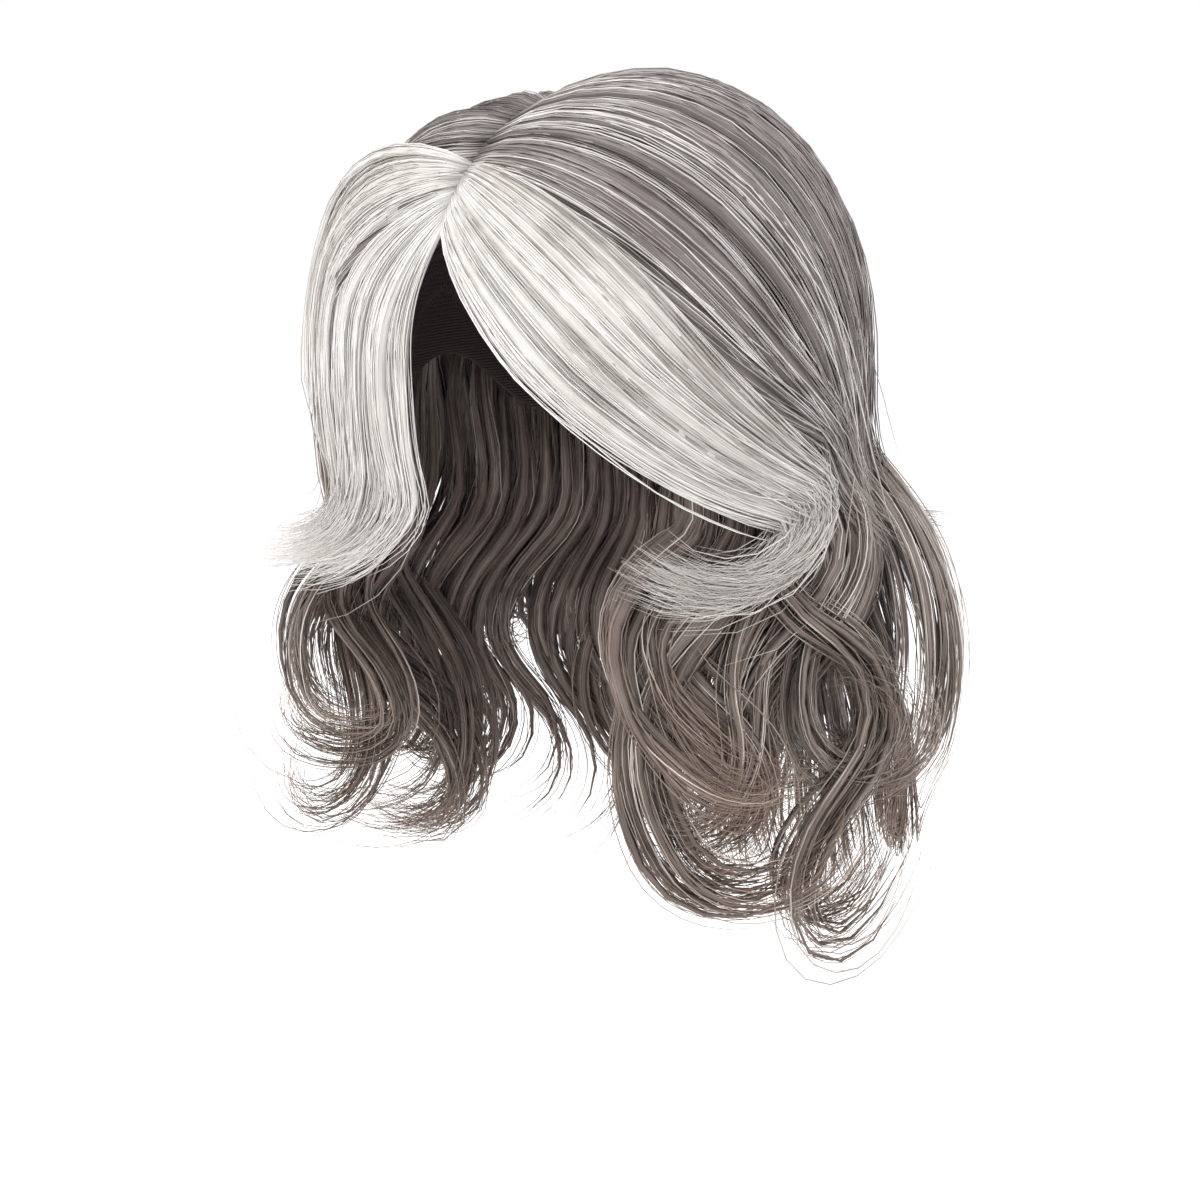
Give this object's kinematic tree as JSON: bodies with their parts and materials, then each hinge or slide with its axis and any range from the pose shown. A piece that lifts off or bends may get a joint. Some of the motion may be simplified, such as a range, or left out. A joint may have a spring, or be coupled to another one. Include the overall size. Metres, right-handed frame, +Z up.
{
  "type": "long curly wig",
  "caption": "Long layered wig with a side parting, pale swept front locks and dark curled lengths, on an open net cap that sits on a head.",
  "frame": {"origin": "Where the crown of the head meets the inside of the cap, so the wig hangs below it.", "axes": "+Z up, -Y the way the wearer looks, +X the wearer's left."},
  "size_m": [0.2817, 0.2968, 0.3493],
  "materials": {
    "cap_net": "dark elastic net with a folded hem",
    "grey_hair": "silky grey fibre with light and dark strands",
    "pale_hair": "silky off-white fibre",
    "brown_grey_hair": "silky grey-brown fibre",
    "dark_hair": "silky dark brown fibre with lighter strands"
  },
  "bodies": {
    "root": {"wig_cap": "cap_net", "crown_hair": "grey_hair", "front_lock_left": "pale_hair", "front_lock_right": "pale_hair", "middle_waves_left": "brown_grey_hair", "middle_waves_right": "brown_grey_hair", "side_curls_left": "dark_hair", "side_curls_right": "dark_hair", "nape_curls": "dark_hair"}
  },
  "joints": []
}
